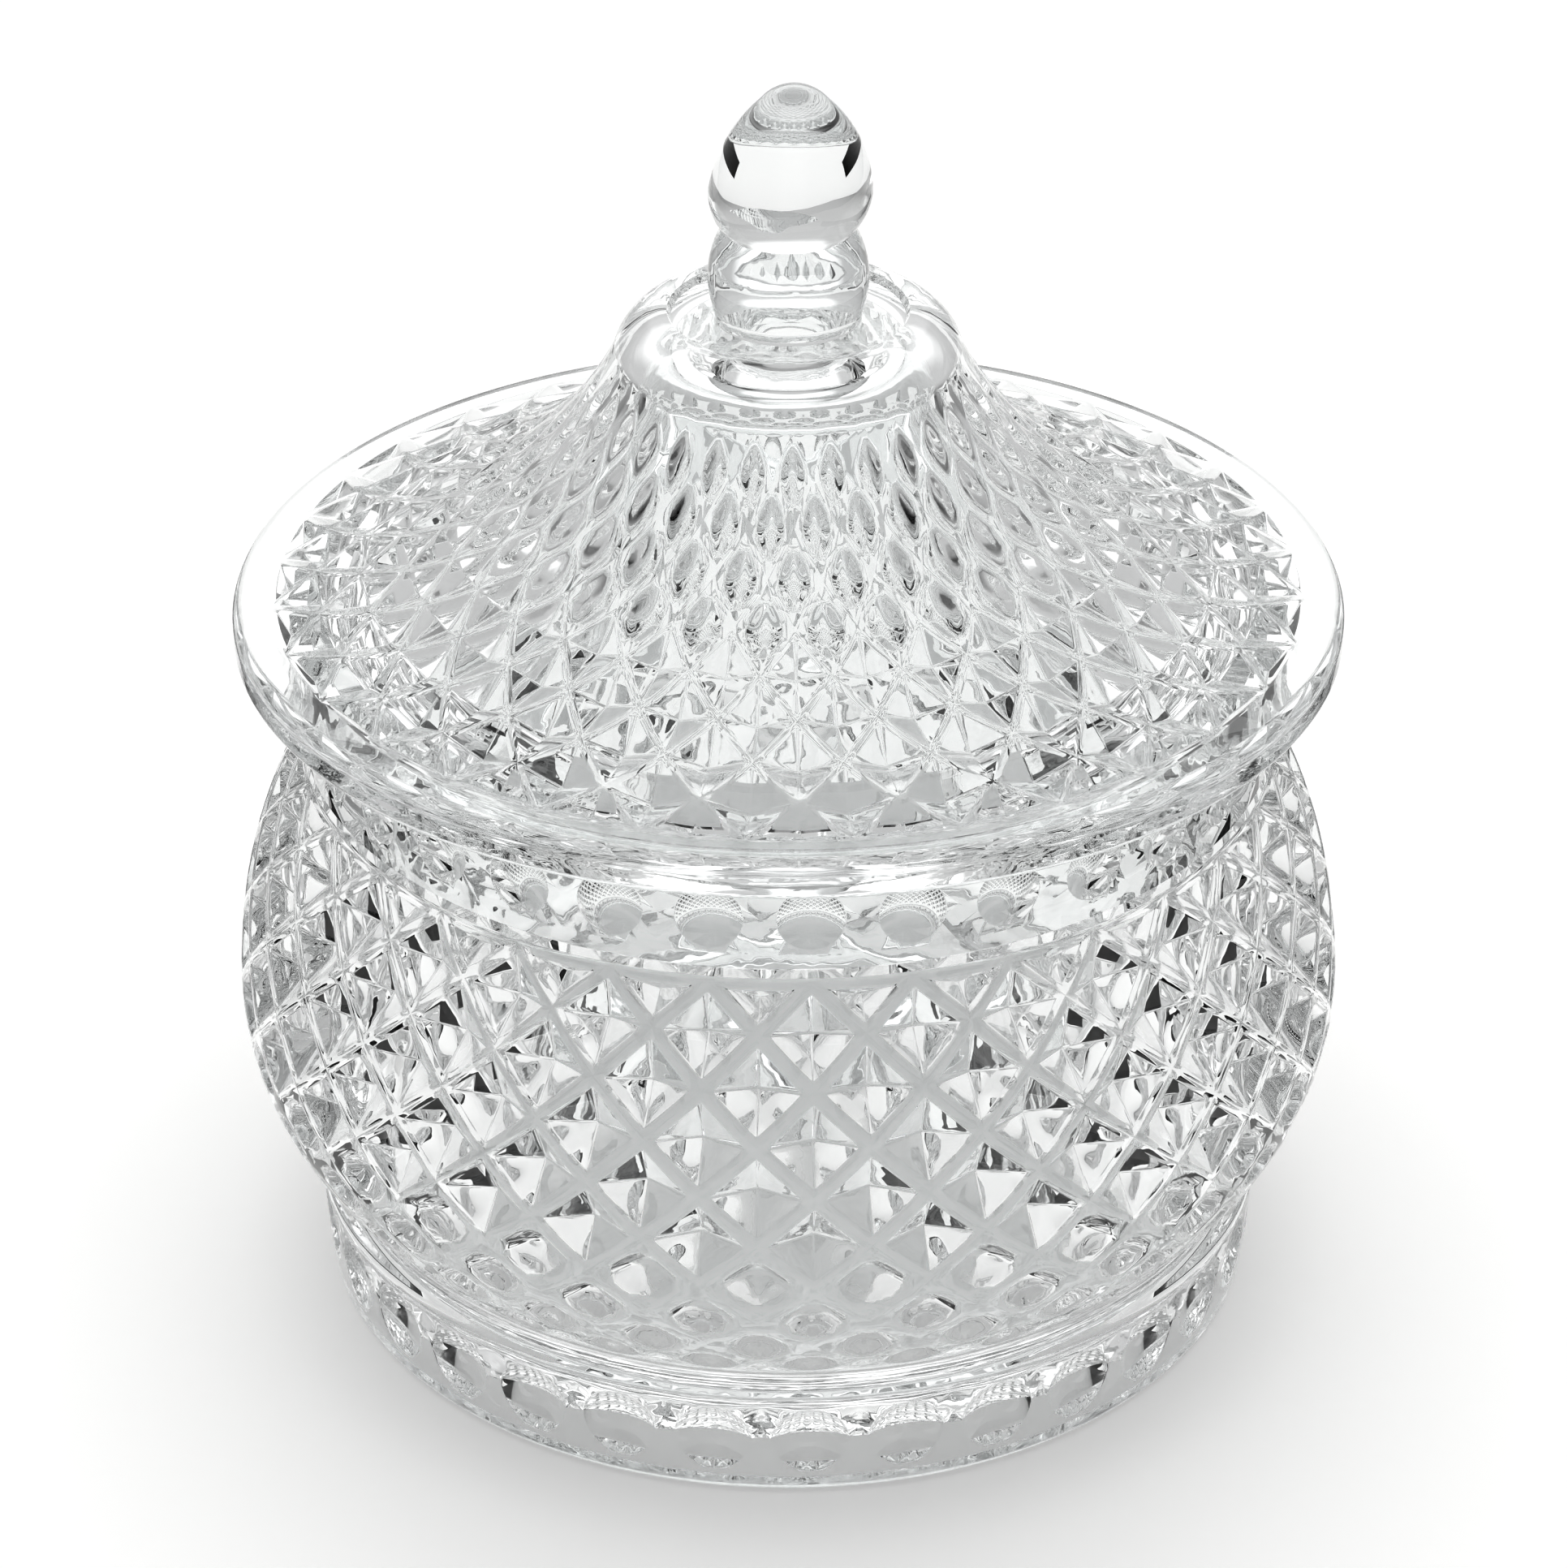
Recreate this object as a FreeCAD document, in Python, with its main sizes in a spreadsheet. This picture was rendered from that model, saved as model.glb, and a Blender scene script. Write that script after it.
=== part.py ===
import FreeCAD
import Part
import collections
import math
import os
import Sketcher

NAME = "powder_jar"

# All lengths are millimetres and all angles degrees.
DIMS = {
    # pressed pattern shared by both pieces
    "repeat_count": 32,
    "rib_half_width": 0.55,
    # foot ring
    "recess_r": 40.0,
    "recess_z": 4.0,
    "foot_inner_r": 41.5,
    "foot_flat_r": 45.2,
    "foot_edge_r": 46.9,
    "foot_edge_z": 1.1,
    "foot_top_r": 47.6,
    "foot_top_z": 10.5,
    "foot_lip_r": 46.6,
    "foot_lip_z": 11.6,
    "foot_round": 1.5,
    # bowl
    "cove_round": 1.6,
    "bowl_low_r": 45.7,
    "bowl_low_z": 13.4,
    "bowl_wide_r": 54.3,
    "bowl_wide_z": 36.6,
    "bowl_low_arc": 25.5,
    "bowl_high_arc": 46.0,
    "bowl_top_r": 47.2,
    "bowl_top_z": 57.8,
    "groove_r": 46.5,
    "groove_low_z": 58.2,
    "groove_z": 58.7,
    "neck_r": 47.1,
    "neck_low_z": 59.2,
    # mouth and cavity
    "lip_low_z": 69.2,
    "lip_round": 0.8,
    "lip_outer_r": 46.3,
    "seat_z": 70.0,
    "lip_inner_r": 44.0,
    "mouth_r": 43.2,
    "cavity_r": 41.6,
    "cavity_low_z": 19.5,
    "cavity_round": 10.0,
    "floor_r": 31.6,
    "floor_z": 9.5,
    # round prints pressed into the neck and the foot
    "neck_print_ball": 4.9,
    "neck_print_reach": 50.8,
    "neck_print_z": 64.3,
    "foot_print_ball": 5.1,
    "foot_print_reach": 50.7,
    "foot_print_z": 6.6,
    # bowl lattice of sunken cells
    "jar_turn": 2.5,
    "jar_rows": 10,
    "jar_first_step": 4.8,
    "jar_step": 5.35,
    "jar_step_ratio": 0.975,
    "jar_cell_depth": 2.7,
    # lid brim and locating ring
    "ring_outer_r": 42.7,
    "ring_low_r": 42.5,
    "ring_low_z": 67.2,
    "ring_chamfer_r": 41.9,
    "ring_end_z": 66.6,
    "ring_foot_r": 40.2,
    "ring_inner_r": 39.4,
    "ring_inner_z": 67.4,
    "brim_flat_r": 52.6,
    "brim_r": 53.4,
    "brim_low_z": 70.8,
    "brim_low_round": 0.8,
    "brim_high_z": 72.4,
    "brim_high_round": 1.5,
    "brim_top_r": 51.9,
    "brim_top_z": 73.9,
    # lid bell
    "bell_low_r": 49.6,
    "bell_low_z": 74.1,
    "bell_low_arc": 60.0,
    "bell_mid_r": 32.6,
    "bell_mid_z": 81.8,
    "bell_high_arc": 36.0,
    "bell_top_r": 16.6,
    "bell_top_z": 98.2,
    "shoulder_round": 5.5,
    "shoulder_r": 12.2,
    "shoulder_z": 102.6,
    "disc_edge_r": 11.4,
    "disc_r": 11.0,
    "disc_z": 101.9,
    # underside of the bell
    "under_low_r": 39.1,
    "under_low_z": 73.2,
    "under_low_arc": 64.0,
    "under_mid_r": 30.5,
    "under_mid_z": 78.2,
    "under_high_arc": 40.0,
    "under_top_r": 13.3,
    "under_top_z": 94.5,
    "under_round": 3.6,
    "under_roof_r": 9.8,
    "under_roof_z": 98.0,
    # finial
    "stem_low_r": 6.9,
    "stem_low_z": 102.5,
    "stem_arc": 9.6,
    "stem_high_r": 6.5,
    "stem_high_z": 110.4,
    "waist_r": 6.2,
    "waist_z": 110.9,
    "bud_low_r": 6.7,
    "bud_low_z": 111.6,
    "bud_low_arc": 5.5,
    "bud_wide_r": 7.65,
    "bud_wide_z": 114.8,
    "bud_high_arc": 14.0,
    "bud_tip_r": 3.3,
    "bud_tip_z": 123.3,
    "bud_tip_arc": 4.203125,
    "tip_z": 124.9,
    # lid lattice of sunken cells
    "lid_turn": -4.4,
    "lid_rows": 9,
    "lid_step": 4.5,
    "lid_step_ratio": 1.02,
    "lid_cell_depth": 1.7,
    "lid_depth_loss": 0.11,
}

# How far a cell cutter stands clear of the wall it cuts into.
CUTTER_RISE = 1.0

# One corner of a half section: its two sizes, then the radius of the edge
# that leaves it (blank for a straight edge) and the side its centre lies on.
Corner = collections.namedtuple("Corner", "across up bend side", defaults=("", 0))

JAR_OUTLINE = [
    Corner("", "recess_z"),
    Corner("recess_r", "recess_z"),
    Corner("foot_inner_r", ""),
    Corner("foot_flat_r", "", "foot_round", 1),
    Corner("foot_edge_r", "foot_edge_z"),
    Corner("foot_top_r", "foot_top_z", "foot_round", 1),
    Corner("foot_lip_r", "foot_lip_z", "cove_round", -1),
    Corner("bowl_low_r", "bowl_low_z", "bowl_low_arc", 1),
    Corner("bowl_wide_r", "bowl_wide_z", "bowl_high_arc", 1),
    Corner("bowl_top_r", "bowl_top_z"),
    Corner("bowl_top_r", "groove_low_z"),
    Corner("groove_r", "groove_z"),
    Corner("neck_r", "neck_low_z"),
    Corner("neck_r", "lip_low_z", "lip_round", 1),
    Corner("lip_outer_r", "seat_z"),
    Corner("lip_inner_r", "seat_z", "lip_round", 1),
    Corner("mouth_r", "lip_low_z"),
    Corner("cavity_r", "cavity_low_z", "cavity_round", -1),
    Corner("floor_r", "floor_z"),
    Corner("", "floor_z"),
]

LID_OUTLINE = [
    Corner("", "under_roof_z"),
    Corner("under_roof_r", "under_roof_z", "under_round", -1),
    Corner("under_top_r", "under_top_z", "under_high_arc", 1),
    Corner("under_mid_r", "under_mid_z", "under_low_arc", 1),
    Corner("under_low_r", "under_low_z"),
    Corner("ring_inner_r", "ring_inner_z"),
    Corner("ring_foot_r", "ring_end_z"),
    Corner("ring_chamfer_r", "ring_end_z"),
    Corner("ring_low_r", "ring_low_z"),
    Corner("ring_outer_r", "seat_z"),
    Corner("brim_flat_r", "seat_z", "brim_low_round", 1),
    Corner("brim_r", "brim_low_z"),
    Corner("brim_r", "brim_high_z", "brim_high_round", 1),
    Corner("brim_top_r", "brim_top_z"),
    Corner("bell_low_r", "bell_low_z", "bell_low_arc", -1),
    Corner("bell_mid_r", "bell_mid_z", "bell_high_arc", -1),
    Corner("bell_top_r", "bell_top_z", "shoulder_round", 1),
    Corner("shoulder_r", "shoulder_z"),
    Corner("disc_edge_r", "shoulder_z"),
    Corner("disc_r", "disc_z"),
    Corner("stem_low_r", "disc_z"),
    Corner("stem_low_r", "stem_low_z", "stem_arc", 1),
    Corner("stem_high_r", "stem_high_z"),
    Corner("waist_r", "waist_z"),
    Corner("bud_low_r", "bud_low_z", "bud_low_arc", 1),
    Corner("bud_wide_r", "bud_wide_z", "bud_high_arc", 1),
    Corner("bud_tip_r", "bud_tip_z", "bud_tip_arc", 1),
    Corner("", "tip_z"),
]


def fill_sheet(doc):
    """Write every driving size into the sheet as a plain number with a name."""
    sheet = doc.addObject("Spreadsheet::Sheet", "Dims")
    for row, (alias, value) in enumerate(DIMS.items(), start=1):
        sheet.set("A%d" % row, alias)
        sheet.set("B%d" % row, str(value))
        sheet.setAlias("B%d" % row, alias)
    doc.recompute()
    return sheet


def size(sheet, alias):
    """Read one size from the sheet; a blank name is zero."""
    return float(sheet.get(alias)) if alias else 0.0


def origin_item(body, role):
    """Find the body's own datum plane or axis by its role."""
    for item in body.Origin.OriginFeatures:
        if item.Role == role:
            return item
    raise ValueError("no origin feature " + role)


def arc_centre(start, end, radius, side):
    """Centre of the short arc from start to end, on the given side of it."""
    chord = end - start
    middle = (start + end) * 0.5
    rise = math.sqrt(radius**2 - (chord.Length * 0.5) ** 2)
    left = FreeCAD.Vector(-chord.y, chord.x, 0).normalize()
    return middle + left * (rise * side)


def edge_geometry(start, end, radius, side):
    """Line or arc between two corners, with its sketch point numbers."""
    if not side:
        return Part.LineSegment(start, end), 1, 2
    centre = arc_centre(start, end, radius, side)
    circle = Part.Circle(centre, FreeCAD.Vector(0, 0, 1), radius)
    first, last = (start, end) if side > 0 else (end, start)
    low = math.atan2(first.y - centre.y, first.x - centre.x)
    high = math.atan2(last.y - centre.y, last.x - centre.x)
    if high < low:
        high += 2 * math.pi
    arc = Part.ArcOfCircle(circle, low, high)
    return (arc, 1, 2) if side > 0 else (arc, 2, 1)


def bind(sketch, label, alias, constraint):
    """Add one named constraint and tie it to its cell."""
    index = sketch.addConstraint(constraint)
    sketch.renameConstraint(index, label)
    sketch.setExpression("Constraints." + label, "Dims." + alias)


def place_corner(sketch, sheet, index, corner, point):
    """Hold one corner at its two sizes, or on an axis where a size is blank."""
    where = (index, point)
    if corner.across:
        rule = Sketcher.Constraint("DistanceX", -1, 1, *where, size(sheet, corner.across))
        bind(sketch, "across%d" % index, corner.across, rule)
    else:
        sketch.addConstraint(Sketcher.Constraint("PointOnObject", *where, -2))
    if corner.up:
        rule = Sketcher.Constraint("DistanceY", -1, 1, *where, size(sheet, corner.up))
        bind(sketch, "up%d" % index, corner.up, rule)
    else:
        sketch.addConstraint(Sketcher.Constraint("PointOnObject", *where, -1))


def draw_outline(sketch, sheet, outline):
    """Draw a closed half section and constrain all of it from the sheet."""
    spots = [FreeCAD.Vector(size(sheet, c.across), size(sheet, c.up), 0) for c in outline]
    joins = []
    for index, corner in enumerate(outline):
        end = spots[(index + 1) % len(spots)]
        radius = size(sheet, corner.bend)
        shape, first, last = edge_geometry(spots[index], end, radius, corner.side)
        sketch.addGeometry(shape, False)
        joins.append((first, last))
    for index, corner in enumerate(outline):
        after = (index + 1) % len(outline)
        link = Sketcher.Constraint("Coincident", index, joins[index][1], after, joins[after][0])
        sketch.addConstraint(link)
        place_corner(sketch, sheet, index, corner, joins[index][0])
        if corner.bend:
            rule = Sketcher.Constraint("Radius", index, size(sheet, corner.bend))
            bind(sketch, "bend%d" % index, corner.bend, rule)


def turned_body(doc, sheet, label, outline):
    """Body of revolution about Z from a half section in the XZ plane."""
    body = doc.addObject("PartDesign::Body", label)
    sketch = body.newObject("Sketcher::SketchObject", label + "_section")
    sketch.AttachmentSupport = [(origin_item(body, "XZ_Plane"), "")]
    sketch.MapMode = "FlatFace"
    draw_outline(sketch, sheet, outline)
    doc.recompute()
    turn = body.newObject("PartDesign::Revolution", label + "_turned")
    turn.Profile = sketch
    turn.ReferenceAxis = (sketch, ["V_Axis"])
    turn.Angle = 360
    doc.recompute()
    return body


def press_prints(doc, body, label):
    """Press a ring of round hollows into the turned body."""
    ball = body.newObject("PartDesign::SubtractiveSphere", label)
    ball.setExpression("Radius", "Dims.%s_ball" % label)
    ball.setExpression("Placement.Base.x", "Dims.%s_reach * sin(Dims.jar_turn)" % label)
    ball.setExpression("Placement.Base.y", "-Dims.%s_reach * cos(Dims.jar_turn)" % label)
    ball.setExpression("Placement.Base.z", "Dims.%s_z" % label)
    doc.recompute()
    ring = body.newObject("PartDesign::PolarPattern", label + "_ring")
    ring.Originals = [ball]
    ring.Axis = (origin_item(body, "Z_Axis"), [""])
    ring.Angle = 360
    ring.setExpression("Occurrences", "Dims.repeat_count")
    body.Tip = ring
    doc.recompute()


def arc_walk(sheet, names):
    """Pieces of a curved wall as (centre, radius, start angle, sweep, length)."""
    pieces = []
    for first, last, bend, side in names:
        start = FreeCAD.Vector(size(sheet, first + "_r"), size(sheet, first + "_z"), 0)
        end = FreeCAD.Vector(size(sheet, last + "_r"), size(sheet, last + "_z"), 0)
        radius = size(sheet, bend)
        centre = arc_centre(start, end, radius, side)
        low = math.atan2(start.y - centre.y, start.x - centre.x)
        sweep = 2 * math.asin((end - start).Length * 0.5 / radius) * side
        pieces.append((centre, radius, low, sweep, abs(sweep) * radius))
    return pieces


def point_along(pieces, distance, facing):
    """Point (r, z) and glass-side-out normal at a distance along the curved wall."""
    for number, (centre, radius, low, sweep, length) in enumerate(pieces):
        if distance <= length or number == len(pieces) - 1:
            angle = low + sweep * distance / length
            outward = FreeCAD.Vector(math.cos(angle), math.sin(angle), 0)
            return centre + outward * radius, outward * facing
        distance -= length
    raise ValueError("empty wall")


def row_distances(first, step, ratio, count, total):
    """Distances of the lattice rows along the wall, the last at its end."""
    rows = [0.0, first]
    while len(rows) < count:
        rows.append(rows[-1] + step)
        step *= ratio
    return rows + [total]


def on_ring(point, angle):
    """Place a half-section point at an angle round Z, zero facing -Y."""
    turn = math.radians(angle)
    return FreeCAD.Vector(point.x * math.sin(turn), -point.x * math.cos(turn), point.y)


def pyramid(apex, corners):
    """Closed pyramid with its point at the apex."""
    count = len(corners)
    loops = [[apex, corners[i], corners[(i + 1) % count]] for i in range(count)]
    loops += [[corners[0], corners[i], corners[i + 1]] for i in range(1, count - 1)]
    faces = [Part.Face(Part.makePolygon(loop + loop[:1])) for loop in loops]
    solid = Part.makeSolid(Part.makeShell(faces))
    if solid.Volume < 0:
        solid.reverse()
    return solid


def cell_cutter(sheet, corners, apex):
    """Pyramid whose faces leave half a rib's width along each cell edge."""
    middle = sum(corners, FreeCAD.Vector()) * (1.0 / len(corners))
    edge = corners[1] - corners[0]
    clear = abs((middle - corners[0]).cross(edge).Length) / edge.Length
    inset = 1 - size(sheet, "rib_half_width") / clear
    reach = 1 + CUTTER_RISE / (middle - apex).Length
    return pyramid(apex, [apex + (middle + (c - middle) * inset - apex) * reach for c in corners])


def row_cutter(sheet, rows, number, turn, depth):
    """One cell of a lattice row, or the half cell at the first row."""
    half = 180.0 / size(sheet, "repeat_count")
    centre = turn + (half if number % 2 == 0 else 0)
    point, outward = rows[number]
    left = on_ring(point, centre - half)
    right = on_ring(point, centre + half)
    below = on_ring(rows[number + 1][0], centre)
    if number:
        above = on_ring(rows[number - 1][0], centre)
        return cell_cutter(sheet, [above, right, below, left], on_ring(point - outward * depth, centre))
    deep = point * 0.72 + rows[1][0] * 0.28
    return cell_cutter(sheet, [right, below, left], on_ring(deep - outward * (depth * 0.6), centre))


def lattice_cutters(sheet, rows, turn, depths):
    """All sunken cells of one wall, repeated round the axis."""
    repeats = int(size(sheet, "repeat_count"))
    cutters = []
    for number in range(len(rows) - 1):
        cell = row_cutter(sheet, rows, number, turn, depths[number])
        for turn_number in range(repeats):
            copy = cell.copy()
            copy.rotate(FreeCAD.Vector(), FreeCAD.Vector(0, 0, 1), turn_number * 360.0 / repeats)
            cutters.append(copy)
    return Part.makeCompound(cutters)


def jar_cells(sheet):
    """Sunken cells of the bowl, shallower where the wall turns in at the foot."""
    wall = arc_walk(sheet, [
        ("bowl_top", "bowl_wide", "bowl_high_arc", -1),
        ("bowl_wide", "bowl_low", "bowl_low_arc", -1),
    ])
    total = sum(piece[4] for piece in wall)
    count = int(size(sheet, "jar_rows"))
    first = size(sheet, "jar_first_step")
    stops = row_distances(first, size(sheet, "jar_step"), size(sheet, "jar_step_ratio"), count, total)
    rows = [point_along(wall, stop, 1) for stop in stops]
    deep = size(sheet, "jar_cell_depth")
    depths = [deep * min(1.0, 0.45 + 0.15 * (count - number)) for number in range(count)]
    return lattice_cutters(sheet, rows, size(sheet, "jar_turn"), depths)


def lid_cells(sheet):
    """Sunken cells of the bell, shallower towards the finial."""
    wall = arc_walk(sheet, [
        ("bell_low", "bell_mid", "bell_low_arc", -1),
        ("bell_mid", "bell_top", "bell_high_arc", -1),
    ])
    total = sum(piece[4] for piece in wall)
    count = int(size(sheet, "lid_rows"))
    step = size(sheet, "lid_step")
    stops = row_distances(step, step, size(sheet, "lid_step_ratio"), count, total)
    rows = [point_along(wall, stop, -1) for stop in stops]
    loss = size(sheet, "lid_depth_loss")
    depths = [size(sheet, "lid_cell_depth") - loss * number for number in range(count)]
    return lattice_cutters(sheet, rows, size(sheet, "lid_turn"), depths)


def cut_cells(doc, label, blank, cutters):
    """Final piece: the turned blank with its cells sunk into it."""
    tools = doc.addObject("Part::Feature", label + "_cells")
    tools.Shape = cutters
    piece = doc.addObject("Part::Cut", label)
    piece.Base = blank
    piece.Tool = tools
    doc.recompute()
    return piece


def build_jar(doc, sheet):
    """Bowl, foot ring and neck pressed as one piece."""
    blank = turned_body(doc, sheet, "jar_blank", JAR_OUTLINE)
    press_prints(doc, blank, "neck_print")
    press_prints(doc, blank, "foot_print")
    return cut_cells(doc, "jar", blank, jar_cells(sheet))


def build_lid(doc, sheet):
    """Lid with its brim, locating ring and finial pressed as one piece."""
    blank = turned_body(doc, sheet, "lid_blank", LID_OUTLINE)
    return cut_cells(doc, "lid", blank, lid_cells(sheet))


def export(piece):
    """Check one piece and write its STEP file."""
    if piece.Shape.isNull() or not piece.Shape.isValid():
        raise ValueError("bad shape: " + piece.Label)
    piece.Shape.exportStep(os.path.join("parts", piece.Label + ".step"))


def main():
    """Build the assembly and export its pieces."""
    doc = FreeCAD.newDocument(NAME)
    sheet = fill_sheet(doc)
    pieces = [build_jar(doc, sheet), build_lid(doc, sheet)]
    doc.recompute()
    for item in doc.Objects:
        if "Invalid" in item.State or "Error" in item.State:
            raise ValueError("feature failed: " + item.Label)
    os.makedirs("parts", exist_ok=True)
    for piece in pieces:
        export(piece)


main()
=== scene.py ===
"""Pressed-glass powder jar: a bowl with a sunken diamond lattice and its loose lid."""

from __future__ import annotations

import logging
import math
from dataclasses import dataclass, field
from enum import Enum

import bmesh
import bpy
from mathutils import Matrix, Vector


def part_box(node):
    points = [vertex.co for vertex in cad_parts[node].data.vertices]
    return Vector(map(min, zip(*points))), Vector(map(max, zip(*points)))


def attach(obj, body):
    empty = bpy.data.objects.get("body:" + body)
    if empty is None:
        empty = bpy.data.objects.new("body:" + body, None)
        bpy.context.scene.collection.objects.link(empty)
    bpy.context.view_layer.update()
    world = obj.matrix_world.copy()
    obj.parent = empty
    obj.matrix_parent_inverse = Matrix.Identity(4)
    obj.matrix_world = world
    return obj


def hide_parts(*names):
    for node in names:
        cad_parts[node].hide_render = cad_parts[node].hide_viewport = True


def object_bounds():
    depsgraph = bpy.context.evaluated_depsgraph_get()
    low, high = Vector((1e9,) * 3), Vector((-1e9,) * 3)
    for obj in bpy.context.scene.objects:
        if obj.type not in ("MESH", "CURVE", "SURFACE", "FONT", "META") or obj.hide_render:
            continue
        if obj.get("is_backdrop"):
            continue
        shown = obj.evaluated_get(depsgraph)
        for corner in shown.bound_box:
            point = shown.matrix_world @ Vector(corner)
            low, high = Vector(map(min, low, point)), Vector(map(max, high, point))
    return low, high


LOG = logging.getLogger("powder_jar")

REPEATS = 32  # every pressed motif stands this many times round the axis
PITCH = 2 * math.pi / REPEATS
ARC_STEPS = 6  # straight steps that one repeat of a smooth band is drawn with
CELL_STEPS = 4  # straight steps along each side of a cell
PRINT_RINGS = 4  # steps along a band that holds a round print
PRINT_SIDES = 28  # straight steps round the rim of a round print
MERGE_DISTANCE = 4e-6  # metres
SHARP_ANGLE = math.radians(50)
CORNER_ANGLE = math.radians(165)  # an inner angle below this is a corner
EDGE_SLACK_MM = 1e-5  # rounding allowed where a distance is looked up
SIDE_SLACK_MM = 1e-3  # rounding allowed where a side is matched to a distance
HALF_CELL_APEX = 0.27  # how far from its straight side a half cell is deepest
RIB_LEVELS = (0.28, 0.55, 0.8, 1.0)  # share of the rib's drop reached at each equal step
PRINT_REACHES = (0.97, 0.9, 0.78, 0.62, 0.45, 0.28, 0.12)  # shares of a print's radius
MELT_POWER = 1.5  # how softly a melted cell leaves its rim
FACET_WEIGHT = 70  # how strongly large facets keep their own normals
LIGHT_BOUNCES = 32  # light crosses many facets before it leaves the glass

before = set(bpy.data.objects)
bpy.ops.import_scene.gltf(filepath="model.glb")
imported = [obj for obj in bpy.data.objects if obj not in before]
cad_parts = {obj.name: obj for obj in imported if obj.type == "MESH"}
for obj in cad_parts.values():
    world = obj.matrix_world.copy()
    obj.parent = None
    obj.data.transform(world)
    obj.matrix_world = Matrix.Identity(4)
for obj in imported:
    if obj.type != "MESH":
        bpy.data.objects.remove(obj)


class Polish(Enum):
    """How far the fire polish has melted a sunken cell."""

    CRISP = "crisp"
    SOFT = "soft"


@dataclass(frozen=True)
class Corner:
    """A corner of a half section, in millimetres.

    bend is the radius of the edge that leaves the corner, positive where its
    centre lies to the left of the way it runs; rings is how many steps it takes.
    """

    r: float
    z: float
    bend: float = 0.0
    rings: int = 1


@dataclass(frozen=True)
class Edge:
    """One stretch of a half section between two corners."""

    start: Vector
    end: Vector
    bend: float

    def centre(self) -> Vector:
        """Centre of the arc."""
        chord = self.end - self.start
        left = Vector((-chord.y, chord.x)).normalized()
        rise = math.sqrt(max(0.0, self.bend**2 - (chord.length / 2) ** 2))
        return (self.start + self.end) / 2 + left * math.copysign(rise, self.bend)

    def sweep(self) -> float:
        """Signed angle that the arc turns through."""
        half = (self.end - self.start).length / 2
        return 2 * math.asin(min(1.0, half / abs(self.bend))) * math.copysign(1, self.bend)

    def length(self) -> float:
        """Length along the edge."""
        if not self.bend:
            return (self.end - self.start).length
        return abs(self.sweep() * self.bend)

    def at(self, share: float) -> tuple[Vector, Vector]:
        """Find a place on the edge.

        Args:
            share: how far along, from 0 to 1.

        Returns:
            The point (r, z) and the normal that points out of the glass.
        """
        if not self.bend:
            way = (self.end - self.start).normalized()
            return self.start.lerp(self.end, share), Vector((way.y, -way.x))
        centre = self.centre()
        arm = self.start - centre
        angle = math.atan2(arm.y, arm.x) + self.sweep() * share
        out = Vector((math.cos(angle), math.sin(angle)))
        return centre + out * abs(self.bend), out * math.copysign(1, self.bend)


class Section:
    """A closed half section that runs with the glass on its left."""

    def __init__(self, corners: dict[str, Corner]) -> None:
        """Lay the edges end to end.

        Args:
            corners: the named corners, in order, from the axis back to the axis.
        """
        self.corners = corners
        names = list(corners)
        self.edges = []
        self.stops = {names[0]: 0.0}
        for name, after in zip(names, names[1:]):
            here, there = corners[name], corners[after]
            edge = Edge(Vector((here.r, here.z)), Vector((there.r, there.z)), here.bend)
            self.edges.append(edge)
            self.stops[after] = self.stops[name] + edge.length()

    def locate(self, distance: float) -> tuple[Vector, Vector]:
        """Find the point and outward normal at a distance along the section."""
        for edge in self.edges[:-1]:
            if distance <= edge.length() + EDGE_SLACK_MM:
                return edge.at(min(1.0, distance / edge.length()))
            distance -= edge.length()
        return self.edges[-1].at(min(1.0, distance / self.edges[-1].length()))

    def span(self, first: str, last: str) -> list[tuple[float, float, int]]:
        """List the (low, high, rings) of each edge between two named corners."""
        names = list(self.corners)
        low, high = names.index(first), names.index(last)
        return [
            (self.stops[a], self.stops[b], self.corners[a].rings)
            for a, b in zip(names[low:high], names[low + 1 : high + 1])
        ]


@dataclass(frozen=True)
class CellStyle:
    """Sizes of one sunken cell, in millimetres."""

    depth: float
    rib: float = 0.78  # half the width of the rounded rib between two cells
    rib_drop: float = 0.2
    valley: float = 0.16  # half the width of the rounded line where two facets meet
    polish: Polish = Polish.CRISP
    rim: float = 0.15  # share of a melted cell that its rib takes
    roundness: float = 4.0  # outline of a melted cell: 2 is an ellipse, more is squarer


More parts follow.
